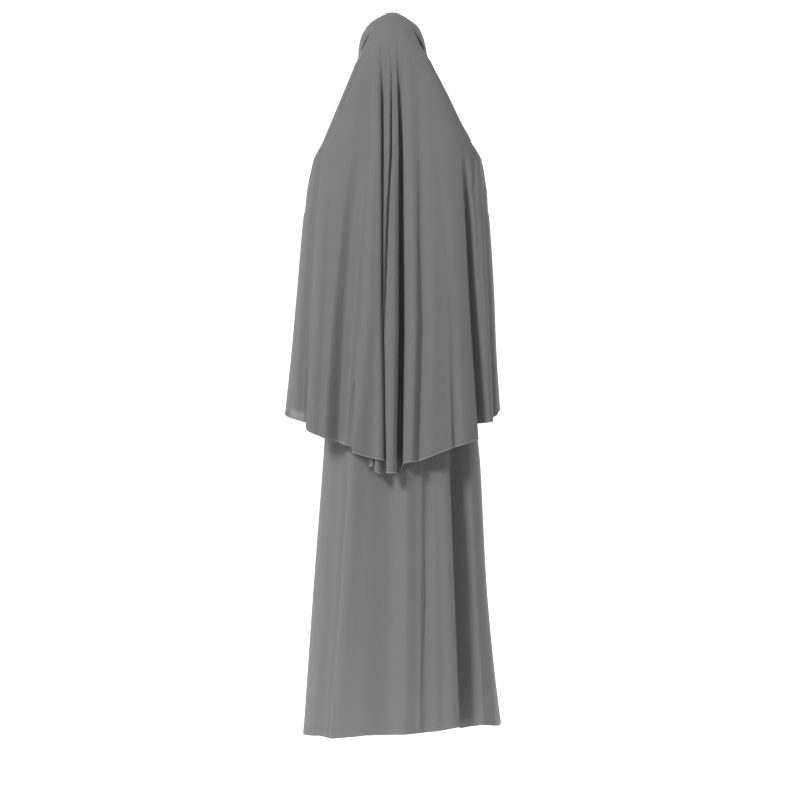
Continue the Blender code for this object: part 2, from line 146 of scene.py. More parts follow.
# The room's light on the set, its paleness as seen, and the lamps: place, target, size and power
WORLD_STRENGTH = 0.09
WORLD_SEEN = 0.80
LIGHTS = (
    ("key", (3.5, 4.5, 2.7), (0.0, 0.0, -0.8), (1.4, 1.6), 332.0),
    ("fill", (-3.6, 4.6, 1.2), (0.0, 0.0, -0.8), (2.4, 2.4), 12.0),
    ("top", (-1.8, 1.2, 2.8), (0.0, 0.0, -0.2), (1.6, 1.6), 44.0),
)

# A ring is a closed line round a form: its centre back, its two sides, its centre front, all in metres,
# and how square it is, from 1 for an oval down to 0 for a box.
RING_COLUMNS = (
    "back_y", "back_z", "left_x", "right_x", "side_y", "side_z", "front_y", "front_z", "square",
)

# The khimar's rings, from the edge of the face opening over the crown and down to the hem
KHIMAR_RINGS = (
    (-0.086, -0.042, 0.066, -0.066, -0.088, -0.135, -0.082, -0.232, 1.00),  # opening edge
    (-0.066, -0.016, 0.076, -0.076, -0.066, -0.136, -0.088, -0.252, 1.00),  # band seam
    (-0.005, 0.002, 0.083, -0.083, -0.030, -0.140, -0.093, -0.270, 0.96),  # crown
    (0.058, -0.018, 0.085, -0.087, 0.000, -0.152, -0.098, -0.290, 0.94),  # crown back
    (0.099, -0.075, 0.088, -0.093, 0.024, -0.176, -0.103, -0.312, 0.84),  # back of the head
    (0.108, -0.150, 0.113, -0.122, 0.032, -0.208, -0.112, -0.338, 0.70),  # nape
    (0.114, -0.235, 0.143, -0.158, 0.026, -0.274, -0.124, -0.375, 0.64),  # shoulder slope
    (0.130, -0.335, 0.187, -0.207, 0.000, -0.350, -0.142, -0.425, 0.66),  # shoulder point
    (0.146, -0.470, 0.207, -0.225, 0.000, -0.470, -0.160, -0.520, 0.68),  # upper arm
    (0.160, -0.660, 0.2225, -0.237, 0.000, -0.640, -0.168, -0.650, 0.70),  # elbow
    (0.170, -0.860, 0.2365, -0.243, 0.000, -0.795, -0.172, -0.775, 0.72),  # forearm
    (0.177, -1.046, 0.2516, -0.2516, 0.000, -0.935, -0.172, -0.897, 0.74),  # hem
)
BAND_SEAM_RING = 1.0

# The cape's outline seen from the back: a height, and where its left and right sides lie there
KHIMAR_OUTLINE = (
    (-0.0021, 0.0150, -0.0085),
    (-0.0045, 0.0193, -0.0143),
    (-0.0068, 0.0222, -0.0190),
    (-0.0115, 0.0280, -0.0297),
    (-0.0162, 0.0390, -0.0393),
    (-0.0255, 0.0553, -0.0518),
    (-0.0349, 0.0630, -0.0625),
    (-0.0443, 0.0685, -0.0675),
    (-0.0536, 0.0732, -0.0715),
    (-0.0630, 0.0762, -0.0744),
    (-0.0817, 0.0799, -0.0786),
    (-0.1004, 0.0804, -0.0808),
    (-0.1118, 0.0822, -0.0853),
    (-0.1398, 0.0922, -0.0990),
    (-0.1958, 0.1160, -0.1282),
    (-0.2518, 0.1398, -0.1553),
    (-0.3079, 0.1637, -0.1850),
    (-0.3320, 0.1778, -0.2000),
    (-0.3450, 0.1845, -0.2080),
    (-0.3639, 0.1888, -0.2125),
    (-0.3919, 0.1954, -0.2168),
    (-0.4200, 0.2001, -0.2212),
    (-0.4760, 0.2060, -0.2240),
)

# How a form follows its outline: in steps of height, read down to a ring, not at all up to an inner part
# of the half width and fully from an outer part on. A point further in follows it as it is lower down.
OUTLINE_STEP = 0.002
OUTLINE_RINGS = 9.0
OUTLINE_SAMPLES = 3000
OUTLINE_STEPS_AROUND = 1440
OUTLINE_INNER = 0.25
OUTLINE_OUTER = 0.80
OUTLINE_SLANT = 1.2

# A fold, in millimetres: where it lies at five stations down the panel, how far it stands out at the
# last four, or in where that is negative, and its half width at the top and the hem. Then come its lean,
# which makes one slope longer, how far it pulls the cloth sideways for its depth, and how flat it is.
FOLD_COLUMNS = (
    "name",
    "x_start", "x_top", "x_upper", "x_lower", "x_hem",
    "out_top", "out_upper", "out_lower", "out_hem",
    "reach_top", "reach_hem",
    "lean", "tuck", "flat",
)
LENGTHS_IN_A_FOLD = FOLD_COLUMNS[1:-3]

# The khimar's stations, as ring numbers, and its folds, where left is the wearer's left
KHIMAR_STATIONS = (3.8, 4.6, 7.0, 9.4, 11.0)
KHIMAR_BACK_FOLDS = (
    ("left hem step", 96, 100, 150, 196, 207, 0, 0, -2, -9, 8, 8, 0.0, -0.9, 2),
    ("left side trough", 84, 90, 166, 202, 214, 0, -2, -11, -11, 10, 12, 0.0, 0.0, 2),
    ("left side ridge", 72, 78, 150, 172, 184, 0, 1, 6, 8, 15, 17, 0.0, 0.0, 2),
    ("left wide trough", 48, 52, 74, 114, 130, 0, -1, -20, -30, 21, 28, 0.0, 0.0, 2),
    ("left small step", 46, 50, 74, 82, 99, 0, 0, 0, -7, 9, 9, 0.0, -0.8, 2),
    ("left long ridge", 38, 37, 36, 55, 86, 1, 5, 8, 11, 20, 31, 0.35, 0.0, 2),
    ("left inner ridge", 30, 30, 30, 30, 30, 0, 0, 2, 8, 12, 16, 0.0, 0.0, 2),
    ("left deep fold", 27, 26, 24, 24.5, 16.5, -1, -21, -17, -12, 5, 3.4, 0.0, -0.45, 2),
    ("middle thin fold", 4, 3, 4, 20, 18, -1, -13, -5, 0, 3, 4, 0.0, -0.4, 2),
    ("middle ridge", 2, 2, 1, 1, 4, 0, 2, 6, 15, 12, 13.5, 0.0, 0.0, 4),
    ("right deep fold", -13, -14, -20, -21.5, -16.6, -1, -21, -26, -36, 4.5, 9.2, 0.0, 0.0, 5),
    ("right deep fold mouth", -20, -20, -20, -21.5, -17, 0, 0, -13, 0, 9, 11.5, 0.0, 0.0, 3),
    ("right long ridge", -34, -36, -44, -50, -42, 1, 3, 5, 6, 13, 14, 0.0, 0.0, 2),
    ("right trough", -52, -58, -67, -69, -60, 0, -3, -12, -11, 18, 22, 0.4, 0.0, 2),
    ("right faint trough", -76, -82, -104, -138, -145, 0, 0, -1, -9, 12, 14, 0.3, 0.0, 2),
    ("right panel", -80, -100, -140, -160, -174, 0, 1, 6, 8, 34, 48, 0.0, 0.0, 2),
    ("right dark fold", -83, -95, -167, -191, -209, 0, 0, -36, -37, 11, 13, 0.0, 0.45, 2),
    ("right small fold", -215, -212, -190, -187, -190, 0, -2.5, 0, 0, 6, 7, 0.0, 0.0, 2),
    ("right side ridge", -100, -125, -198, -212, -224, 0, 2, 10, 7, 11, 12, 0.0, 0.0, 2),
    ("right hem step", -90, -112, -204, -228, -237, 0, 0, -4, -9, 6, 7, 0.0, 0.9, 2),
)
KHIMAR_FRONT_FOLDS = (
    ("left outer trough", 74, 80, 125, 175, 180, 0, -5, -12, -14, 16, 22, 0.0, 0.0, 2),
    ("left ridge", 58, 62, 89, 110, 118, 0, 5, 10, 12, 18, 28, 0.0, 0.0, 2),
    ("left inner trough", 38, 40, 50, 52, 58, -3, -7, -14, -16, 12, 18, -0.3, -0.3, 2),
    ("middle ridge", 4, 4, 7, 4, 0, 3, 5, 8, 10, 16, 24, 0.0, 0.0, 2),
    ("right inner trough", -36, -36, -45, -60, -68, -4, -9, -15, -16, 12, 19, 0.3, 0.3, 2),
    ("right ridge", -56, -62, -86, -120, -128, 0, 5, 10, 10, 18, 26, 0.0, 0.0, 2),
    ("right outer trough", -74, -82, -133, -182, -190, 0, -5, -10, -12, 16, 22, 0.0, 0.0, 2),
)

# The khimar's hems from left to right, as across and height, stepped where a fold hides some of the edge
KHIMAR_BACK_HEM = (
    (0.2516, -0.9375), (0.213, -0.9565), (0.2005, -0.964), (0.1970, -0.975), (0.158, -0.9935),
    (0.106, -1.0095), (0.098, -1.014), (0.090, -1.0265), (0.064, -1.0345), (0.0165, -1.0458),
    (0.0140, -1.0735), (-0.0080, -1.0735), (-0.0120, -1.0745), (-0.0190, -1.0680), (-0.0232, -1.0520),
    (-0.0380, -1.0485), (-0.0550, -1.0475), (-0.0750, -1.0405), (-0.1360, -1.0170), (-0.2000, -0.9955),
    (-0.206, -0.972), (-0.211, -0.9620), (-0.232, -0.9530), (-0.238, -0.946), (-0.2425, -0.9330),
    (-0.2516, -0.9252),
)
KHIMAR_FRONT_HEM = (
    (0.2516, -0.9375), (0.150, -0.914), (0.0, -0.896), (-0.150, -0.908), (-0.2516, -0.9252),
)

# The abaya's rings, from the neck edge over the shoulders and down to the hem
ABAYA_RINGS = (
    (0.050, -0.256, 0.066, -0.080, 0.002, -0.272, -0.062, -0.330, 0.95),  # neck edge
    (0.076, -0.296, 0.110, -0.126, 0.002, -0.292, -0.084, -0.345, 0.88),  # middle of the shoulder
    (0.094, -0.352, 0.148, -0.166, 0.002, -0.326, -0.106, -0.385, 0.84),  # shoulder point
    (0.102, -0.420, 0.138, -0.156, 0.002, -0.420, -0.124, -0.465, 0.78),  # middle of the armhole
    (0.102, -0.520, 0.128, -0.146, 0.002, -0.520, -0.134, -0.535, 0.78),  # underarm
    (0.100, -0.680, 0.128, -0.146, 0.000, -0.680, -0.128, -0.690, 0.84),  # waist
    (0.124, -0.860, 0.150, -0.176, 0.000, -0.860, -0.130, -0.865, 0.82),  # hip
    (0.140, -1.050, 0.1626, -0.2047, 0.000, -1.050, -0.138, -1.055, 0.82),  # below the khimar
    (0.164, -1.370, 0.187, -0.219, 0.000, -1.370, -0.165, -1.375, 0.84),  # knee
    (0.186, -1.680, 0.209, -0.254, 0.000, -1.680, -0.198, -1.680, 0.86),  # hem
)

# The armhole, between two ring numbers, and how far its edges lie from the side seam at their widest
ABAYA_SHOULDER_POINT = 2
ABAYA_UNDERARM = 4
ARMHOLE_OPENING = math.radians(27)

# The abaya's stations, folds and hems
ABAYA_STATIONS = (4.0, 6.2, 7.2, 8.0, 9.0)
ABAYA_BACK_FOLDS = (
    ("left trough", 100, 118, 130, 144, 166, -4, -2, -3, -4, 14, 18, 0.0, 0.0, 2),
    ("left long ridge", 78, 80, 90, 106, 130, 3, 7, 9, 9, 22, 28, 0.35, 0.0, 2),
    ("middle soft trough", 6, 6, 8, 12, 20, -4, -13, -16, -17, 60, 72, -0.30, 0.0, 2),
    ("middle ridge", -24, -26, -28, -28, -24, 4, 6, 7, 9, 28, 34, 0.0, 0.0, 2),
    ("middle trough", -72, -76, -82, -80, -78, -2, -6, -8, -8, 19, 21, 0.2, 0.0, 2),
    ("middle small fold", -60, -66, -74, -78, -64, 0, 0, -2.5, 0, 5, 7, 0.4, 0.0, 2),
    ("right ridge", -96, -110, -122, -130, -138, 3, 5, 6, 7, 20, 22, 0.0, 0.0, 2),
    ("right dark trough", -116, -149, -158, -169, -183, -10, -35, -41, -42, 24, 29, 0.0, 0.4, 5),
    ("right side ridge", -140, -184, -196, -212, -232, 0, 4, 5, 6, 12, 18, 0.0, 0.0, 2),
)
ABAYA_FRONT_FOLDS = (
    ("left trough", 90, 120, 135, 150, 160, -6, -10, -12, -14, 20, 28, 0.0, 0.0, 2),
    ("left ridge", 60, 70, 85, 95, 104, 5, 8, 10, 12, 22, 30, 0.0, 0.0, 2),
    ("middle trough", 10, 12, 20, 30, 36, -6, -10, -14, -16, 18, 24, -0.4, 0.0, 2),
    ("middle ridge", -40, -44, -44, -40, -36, 5, 8, 10, 12, 22, 30, 0.0, 0.0, 2),
    ("right trough", -80, -100, -112, -116, -122, -6, -10, -14, -15, 18, 24, 0.4, 0.0, 2),
    ("right ridge", -110, -145, -160, -170, -186, 4, 6, 8, 10, 18, 26, 0.0, 0.0, 2),
)
ABAYA_BACK_HEM = (
    (0.209, -1.686), (0.171, -1.680), (0.137, -1.684), (0.061, -1.674), (-0.028, -1.671),
    (-0.103, -1.664), (-0.162, -1.654), (-0.198, -1.652), (-0.254, -1.664),
)
ABAYA_FRONT_HEM = (
    (0.209, -1.686), (0.100, -1.684), (0.0, -1.684), (-0.130, -1.683), (-0.165, -1.6895),
    (-0.199, -1.6825), (-0.254, -1.664),
)

# A sleeve ring below the armhole: the points furthest from the body and nearest to it, its middle and
# its half depth. The hem at the last ring has rows of its own, as ring numbers up from the edge.
SLEEVE_COLUMNS = ("outer_x", "outer_z", "inner_x", "inner_z", "middle_y", "half_back")
SLEEVE_RINGS = (
    (0.187, -0.358, 0.146, -0.532, 0.000, 0.054),  # sleeve cap
    (0.2065, -0.425, 0.149, -0.548, 0.000, 0.054),
    (0.211, -0.510, 0.150, -0.575, 0.002, 0.052),
    (0.212, -0.600, 0.151, -0.625, 0.003, 0.050),
    (0.217, -0.690, 0.156, -0.690, -0.002, 0.047),  # elbow
    (0.222, -0.780, 0.166, -0.780, -0.020, 0.043),
    (0.226, -0.890, 0.170, -0.890, -0.038, 0.044),  # cuff
)
SLEEVE_MIDDLE_X = -0.009
SLEEVE_SIDES = (("left", 1.0), ("right", -1.0))
SLEEVE_HEM_STARTS = 0.3
SLEEVE_HEM_ROWS = np.array((0.24, 0.22, 0.20, 0.19, 0.18, 0.16, 0.12, 0.06, 0.012, 0.005, 0.0))

# The rings from which each hem slants, how near a side seam folds fade out, and over how many rings
# creases fade in below the face band
KHIMAR_DROP_STARTS = 8.5
ABAYA_DROP_STARTS = 7.0
SIDE_FADE = 0.012
CREASE_FADE_RINGS = 0.3

# Lines that columns follow down a fold, as parts of its half width, and how near two of them may come
KNOTS_ON_A_FOLD = (0.9, 0.0, -0.9)
LEAST_GAP = 0.0042
LEAST_ANGLE = math.radians(0.2)

# Creases of the hood as seen from the back: (x, z) to (x, z), half width and depth in metres
HOOD_CREASES = (
    ((0.0490, -0.0490), (0.0780, -0.1070), 0.0030, -0.0100),
    ((-0.0480, -0.0430), (-0.0800, -0.1090), 0.0042, -0.0140),
    ((0.0400, -0.0360), (0.0840, -0.1320), 0.0050, 0.0045),
    ((-0.0440, -0.0390), (-0.0760, -0.1140), 0.0040, 0.0024),
    ((0.0700, -0.1050), (0.1400, -0.2740), 0.0045, 0.0035),
)

# Small folds of the cape that hang below its left half beside the middle: across, how far behind the
# cloth, and the height of their lower edge. Their hidden top lies less far behind, by a share, and their
# even rows end a little above those of the hem.
UNDER_FOLD_COLUMNS = ("across", "behind", "height")
UNDER_FOLDS = (
    (0.0534, 0.0190, -1.0585),
    (0.0526, 0.0140, -1.0590),
    (0.0436, 0.0120, -1.0570),
    (0.0414, 0.0220, -1.0560),
    (0.0406, 0.0130, -1.0695),
    (0.0380, 0.0070, -1.0710),
    (0.0310, 0.0060, -1.0735),
    (0.0245, 0.0120, -1.0755),
    (0.0195, 0.0210, -1.0745),
)
UNDER_FOLD_TOP = -1.010
UNDER_FOLD_CLOTH_Y = 0.178
UNDER_FOLD_TOP_SHARE = 0.8
UNDER_FOLD_BODY_ENDS = 1.2
UNDER_FOLD_STEPS = 81
UNDER_FOLD_ROWS = 24

# Painted light where one layer of the cape's cloth lets light through, low on its left: middle, half
# sizes, slope and paleness
PAINTED_LIGHT_PATCH = {
    "x": 0.2190, "z": -0.9420, "half_x": 0.0220, "half_z": 0.0150, "slope": 0.40, "pale": 0.60,
}

# Small steps that give directions on a form, in metres and in rings, and how many points and which rings
# lengths are measured on
PLACE_STEP = 1e-4
RING_STEP = 1e-3
SAMPLES = 1500
SAMPLE_RINGS = (4.6, 6.0, 8.0, 9.5, 11.0)


def smooth_values(values, where):
    """A smooth curve through evenly spaced values, read at positions counted from 0."""
    values = np.asarray(values, float)
    slopes = np.gradient(values, axis=0)
    first = np.clip(np.floor(where).astype(int), 0, len(values) - 2)
    part = (where - first).reshape((-1,) + (1,) * (values.ndim - 1))
    rise = values[first + 1] - values[first]
    bend_in = slopes[first] - rise
    bend_out = rise - slopes[first + 1]
    return values[first] + part * rise + part * (1 - part) * (bend_in * (1 - part) + bend_out * part)


def smooth_step(values):
    values = np.clip(values, 0, 1)
    return values ** 2 * (3 - 2 * values)


def signed_power(values, power):
    return np.sign(values) * np.abs(values) ** power


def unit(vectors):
    return vectors / np.linalg.norm(vectors, axis=-1, keepdims=True)


def ring_sizes(rings, where):
    """Every column of a ring table, read at ring positions."""
    return {name: smooth_values(values, where) for name, values in zip(RING_COLUMNS, zip(*rings))}


def middle_and_half(size):
    """Where the middle of a ring lies across, and half its width."""
    return (size["left_x"] + size["right_x"]) / 2, (size["left_x"] - size["right_x"]) / 2


def ring_points(rings, where, angle):
    """A grid of points on a form. Angle is 0 at centre back, a quarter turn at the left side."""
    size = {name: values[:, None] for name, values in ring_sizes(rings, where).items()}
    across = signed_power(np.sin(angle), size["square"])
    along = signed_power(np.cos(angle), size["square"])
    middle, half = middle_and_half(size)
    parts = [middle + half * across]
    for axis in "yz":
        back, side, front = size["back_" + axis], size["side_" + axis], size["front_" + axis]
        parts.append(side + (back - front) / 2 * along + ((back + front) / 2 - side) * along ** 2)
    return np.stack(parts, axis=-1)


class Outline:
    """Draws a form in or out at its sides, so that its outline from the back follows a table."""

    def __init__(self, rings, table):
        heights, left, right = (np.asarray(column)[::-1] for column in zip(*table))
        self.heights = np.arange(heights[0], heights[-1], OUTLINE_STEP)
        angle = np.linspace(-math.pi, math.pi, OUTLINE_STEPS_AROUND)
        fine = np.linspace(BAND_SEAM_RING, OUTLINE_RINGS, OUTLINE_SAMPLES)
        points = ring_points(rings, fine, angle[None]).reshape(-1, 3)
        level = np.rint((points[:, 2] - self.heights[0]) / OUTLINE_STEP).astype(int)
        inside = (level >= 0) & (level < len(self.heights))
        self.wide = []
        self.share = []
        for way, wanted in ((1.0, left), (-1.0, -right)):
            widest = np.zeros(len(self.heights))
            np.maximum.at(widest, level[inside], way * points[inside, 0])
            self.wide.append(widest)
            self.share.append(np.interp(self.heights, heights, wanted) / widest)

    def drawn(self, points):
        """The points moved across, most at the sides and nothing in the middle."""
        points = points.copy()
        for way, wide, share in zip((1.0, -1.0), self.wide, self.share):
            across = way * points[..., 0]
            widest = np.interp(points[..., 2], self.heights, wide)
            place = np.clip(across / widest, 0, 1)
            height = points[..., 2] - OUTLINE_SLANT * widest * (1 - place)
            ends = np.interp(height, self.heights, share, left=1.0, right=share[-1])
            part = smooth_step((place - OUTLINE_INNER) / (OUTLINE_OUTER - OUTLINE_INNER))
            moved = points[..., 0] * (1 + part * (ends - 1))
            points[..., 0] = np.where(across > 0, moved, points[..., 0])
        return points


class Panel:
    """One cut piece of a form. A place is measured across its hem, and a ring down its length."""

    def __init__(
        self, rings, stations, folds, hem, drop_starts,
        front=False, armhole=None, creases=(), outline=None,
    ):
        self.rings = rings
        self.stations = np.asarray(stations)
        self.folds = [self.read_fold(row) for row in folds]
        self.hem_places, self.hem_heights = (np.asarray(column) for column in zip(*hem[::-1]))
        self.drop_starts = drop_starts
        self.front = front
        self.outward = -1.0 if front else 1.0
        self.armhole = armhole
        self.creases = creases
        self.outline = outline
        self.last = len(rings) - 1.0
        self.guides = self.pick_guides()
        places = [guide[0] for guide in self.guides]
        self.knots = np.concatenate([self.hem_places[:1], places, self.hem_places[-1:]])

    @staticmethod
    def read_fold(row):
        fold = {name: value * MILLIMETRE for name, value in zip(LENGTHS_IN_A_FOLD, row[1:-3])}
        fold["lean"], fold["tuck"], fold["flat"] = row[-3:]
        return fold

    def across_at(self, fold, rings):
        names = ("x_start", "x_top", "x_upper", "x_lower", "x_hem")
        return np.interp(rings, self.stations, [fold[name] for name in names])

    def out_at(self, fold, rings):
        names = ("out_top", "out_upper", "out_lower", "out_hem")
        return np.interp(rings, self.stations, [0.0] + [fold[name] for name in names])

    def reach_at(self, fold, rings):
        ends = (self.stations[1], self.stations[-1])
        return np.interp(rings, ends, (fold["reach_top"], fold["reach_hem"]))

    def guide_line(self, fold, part, rings):
        """Where a line down a fold lies across the panel, a part of its half width beside its middle."""
        return self.across_at(fold, rings) + self.reach_at(fold, rings) * part

    def pick_guides(self):
        """The lines that columns follow down the folds, without those close to a deeper fold's."""
        guides, kept = [], []
        rings = self.stations[2:]
        for fold in sorted(self.folds, key=lambda fold: -abs(fold["out_lower"])):
            for part in KNOTS_ON_A_FOLD:
                line = self.guide_line(fold, part, rings)
                if all(np.abs(line - other).min() > LEAST_GAP for other in kept):
                    kept.append(line)
                    guides.append((line[-1], fold, part))
        return sorted(guides, key=lambda guide: guide[0])

    def knot_angles(self, rings):
        """The guide lines as angles, from side seam to side seam, kept a least angle apart."""
        rings = np.maximum(rings, self.stations[0])
        size = ring_sizes(self.rings, rings)
        middle, half = middle_and_half(size)
        lines = np.array([self.guide_line(fold, part, rings) for _, fold, part in self.guides])
        share = np.clip((lines - middle) / half, -1, 1)
        edge = np.full((1, len(rings)), math.pi / 2)
        angles = np.concatenate([-edge, np.arcsin(signed_power(share, 1 / size["square"])), edge])
        spread = np.arange(len(angles))[:, None] * LEAST_ANGLE
        angles = np.maximum.accumulate(angles - spread) + spread
        return np.minimum(angles, edge - (spread[-1] - spread))

    def columns(self, width):
        """Places across the hem that part the folded cloth into columns of like width."""
        fine = np.linspace(self.knots[0], self.knots[-1], SAMPLES)
        rings = np.array([ring for ring in SAMPLE_RINGS if ring <= self.last])
        steps = np.linalg.norm(np.diff(self.surface(fine, rings), axis=1), axis=-1)
        whole = steps.sum(axis=1, keepdims=True)
        length = running_total((steps / whole).mean(axis=0))
        count = math.ceil(whole.max() / width)
        return np.interp(np.linspace(0, 1, count + 1), length / length[-1], fine)

    def rows(self, spans):
        """Ring positions for spans of (first ring, last ring, length of each row)."""
        rings = [spans[0][0]]
        for first, last, length in spans:
            fine = np.linspace(first, last, SAMPLES)
            line = self.plain(np.array([self.knots[0], 0.0, self.knots[-1]]), fine)
            steps = running_total(np.linalg.norm(np.diff(line, axis=0), axis=-1).mean(axis=1))
            count = max(1, math.ceil(steps[-1] / length))
            rings += list(np.interp(np.linspace(0, steps[-1], count + 1)[1:], steps, fine))
        return np.asarray(rings)

    def hem_ring(self, height):
        """The ring a height above the hem, at the panel's middle."""
        fine = np.linspace(self.last - 1, self.last, SAMPLES)
        line = self.plain(np.array([0.0]), fine)[:, 0]
        left = np.linalg.norm(line - line[-1], axis=-1)
        return float(np.interp(-height, -left, fine))

    def edge_share(self, rings):
        """How much of the quarter turn to its side seam the panel takes up, less beside the armhole."""
        if self.armhole is None:
            return np.ones(len(rings))
        top, bottom = self.armhole
        share = (rings - (top + bottom) / 2) / ((bottom - top) / 2)
        return 1 - ARMHOLE_OPENING / (math.pi / 2) * np.sqrt(np.clip(1 - share ** 2, 0, 1))

    def plain(self, places, rings, edge=None):
        """The panel without folds: a grid of points at places and rings."""
        edge = self.edge_share(rings) if edge is None else edge
        lines = self.knot_angles(rings).T
        angles = np.array([np.interp(places, self.knots, line) for line in lines]) * edge[:, None]
        return ring_points(self.rings, rings, math.pi - angles if self.front else angles)

    def normals(self, places, rings, edge):
        """Directions out of the plain form, from small steps across it and down it."""
        after = np.minimum(places + PLACE_STEP, self.knots[-1])
        before = np.maximum(places - PLACE_STEP, self.knots[0])
        across = self.plain(after, rings, edge) - self.plain(before, rings, edge)
        below = self.plain(places, rings + RING_STEP, edge)
        above = self.plain(places, rings - RING_STEP, edge)
        return self.outward * unit(np.cross(across, below - above))

    def side_fade(self, places):
        """Nothing at the side seams and one further in, so that two panels meet along one line."""
        side = np.minimum(places - self.knots[0], self.knots[-1] - places)
        return np.clip(side / SIDE_FADE, 0, 1)

    def fold_depths(self, points, places, rings):
        """How far the folds move each point out of the plain form, and how far across it."""
        across = points[:, :, 0]
        total, sideways = np.zeros_like(across), np.zeros_like(across)
        for fold in self.folds:
            lean = fold["lean"]
            reach = self.reach_at(fold, rings)[:, None]
            away = (across - self.across_at(fold, rings)[:, None]) / reach + lean
            away = np.clip(away, -1, 1)
            away = (away - lean) / (1 - lean * away)
            depth = self.out_at(fold, rings)[:, None] * (1 - np.abs(away) ** fold["flat"]) ** 2
            total += depth
            sideways += fold["tuck"] * np.abs(depth)
        fade = self.side_fade(places)
        return total * fade, sideways * fade

    def surface(self, places, rings):
        """The plain form moved by its folds, outline and creases, and lowered to its hem."""
        edge = self.edge_share(rings)
        points = self.plain(places, rings, edge)
        depths, sideways = self.fold_depths(points, places, rings)
        points = points + self.normals(places, rings, edge) * depths[:, :, None]
        points[:, :, 0] += sideways
        if self.outline:
            points = self.outline.drawn(points)
        seam_fade = np.clip((rings - BAND_SEAM_RING) / CREASE_FADE_RINGS, 0, 1)[:, None]
        for crease in self.creases:
            depth = crease_depths(crease, points[:, :, 0], points[:, :, 2])
            points[:, :, 1] += depth * self.side_fade(places) * seam_fade
        slope = smooth_step((rings - self.drop_starts) / (self.last - self.drop_starts))
        drops = np.interp(places, self.hem_places, self.hem_heights)
        drops = drops - self.plain(places, np.array([self.last]))[0, :, 2]
        points[:, :, 2] += slope[:, None] * drops
        return points


def crease_depths(crease, across, heights):
    """How deep a crease is at each point, along its line and beside it."""
    (x_start, z_start), (x_end, z_end), reach, depth = crease
    run_x, run_z = x_end - x_start, z_end - z_start
    length = math.hypot(run_x, run_z)
    along = ((across - x_start) * run_x + (heights - z_start) * run_z) / length ** 2
    beside = ((across - x_start) * run_z - (heights - z_start) * run_x) / length
    ends = np.clip(1 - (2 * along - 1) ** 2, 0, 1)
    return depth * np.clip(1 - (beside / reach) ** 2, 0, 1) ** 2 * ends


def running_total(steps):
    """How far each step has come, from 0."""
    return np.concatenate([[0.0], np.cumsum(steps)])


def lengths_along(points, axis):
    """How far each point lies along its row or column, from the first one."""
    steps = np.linalg.norm(np.diff(points, axis=axis), axis=-1)
    pad = [(0, 0), (0, 0)]
    pad[axis] = (1, 0)
    return np.pad(np.cumsum(steps, axis=axis), pad)


def heights_above_edge(points):
    """How far up its column each point of a grid lies from the last row."""
    return lengths_along(points[::-1], 0)[::-1]


def point_along(where, positions, points):
    """The point at a position along a line of points."""
    return np.array([np.interp(where, positions, points[:, axis]) for axis in range(3)])


def grid_normals(points, closed):
    """Directions out of a grid of points whose columns run anticlockwise seen from above."""
    if closed:
        across = np.roll(points, -1, axis=1) - np.roll(points, 1, axis=1)
    else:
        across = np.gradient(points, axis=1)
    return unit(np.cross(across, np.gradient(points, axis=0)))


def hem_rows(hem):
    """Heights of the rows of a hem, close together at its turned edge and its stitches."""
    depth, stitch = hem["depth"], hem["stitch"]
    above = [max(depth, stitch) + part * HEM_RAMP for part in HEM_RAMPS_ABOVE]
    middle = sorted({depth, stitch, stitch + STITCH_GROOVE, stitch - STITCH_GROOVE}, reverse=True)
    below = [stitch * part for part in HEM_PARTS_BELOW]
    return above + [height for height in middle if height < above[-1]] + below + [0.0]


def turned_rise(heights, hem):
    """How much a hem adds to the cloth where it is turned under."""
    return hem["rise"] * (1 - smooth_step((heights - hem["depth"]) / HEM_RAMP))


def hem_lift(heights, hem):
    """How far a hem turned under stands out, with a groove where it is stitched."""
    groove = STITCH_DIP * np.exp(-((heights - hem["stitch"]) / STITCH_GROOVE) ** 2)
    edge = hem["rise"] * np.exp(-(heights / HEM_RAMP) ** 2)
    return turned_rise(heights, hem) - groove - edge


def with_hem(panel, places, rings, hem):
    """The panel's surface, with the rows of its hem at true heights above the edge."""
    zone = panel.surface(places, np.linspace(panel.hem_ring(HEM_ZONE), panel.last, HEM_SAMPLES))
    heights = heights_above_edge(zone)
    rows = [
        [point_along(-wanted, -heights[:, column], zone[:, column]) for column in range(len(places))]
        for wanted in hem_rows(hem)
    ]
    return np.concatenate([panel.surface(places, rings), np.array(rows)])


def finished(points, hem, seams, closed=False):
    """The cloth's outer and inner faces, with its turned hem and its side seams pressed in."""
    out = grid_normals(points, closed)
    heights = heights_above_edge(points)
    lift = hem_lift(heights, hem)
    if seams:
        across = lengths_along(points, 1)
        side = np.minimum(across, across[:, -1:] - across)
        lift = lift - SEAM_DIP * (1 - smooth_step(side / SEAM_REACH))
    outer = points + out * lift[:, :, None]
    thick = CLOTH + turned_rise(heights, hem)
    return outer, outer - out * thick[:, :, None]


def painted_light_share(points, hem, patch=None):
    """How much painted light each point of the cloth gets: a painted highlight at a rolled hem, and
    painted light where light comes through.
    """
    heights = heights_above_edge(points)
    # A painted highlight along the rolled hem's edge
    pale = hem["pale"] * (1 - smooth_step((heights - hem["depth"] / 2) / hem["depth"]))
    # A painted patch of light shining through the cloth
    if patch:
        beside = points[:, :, 0] - patch["x"]
        up = points[:, :, 2] - (patch["z"] + patch["slope"] * beside)
        away = np.maximum(np.abs(beside / patch["half_x"]), np.abs(up / patch["half_z"]))
        pale = np.maximum(pale, patch["pale"] * smooth_step(2 * (1 - away)))
    return pale


def add_object(name, data):
    item = bpy.data.objects.new(name, data)
    bpy.context.scene.collection.objects.link(item)
    return item


def add_mesh(name, vertices, faces, material):
    """A smooth mesh object of one material."""
    mesh = bpy.data.meshes.new(name)
    mesh.from_pydata(vertices, [], faces)
    mesh.shade_smooth()
    mesh.materials.append(material)
    return add_object(name, mesh)


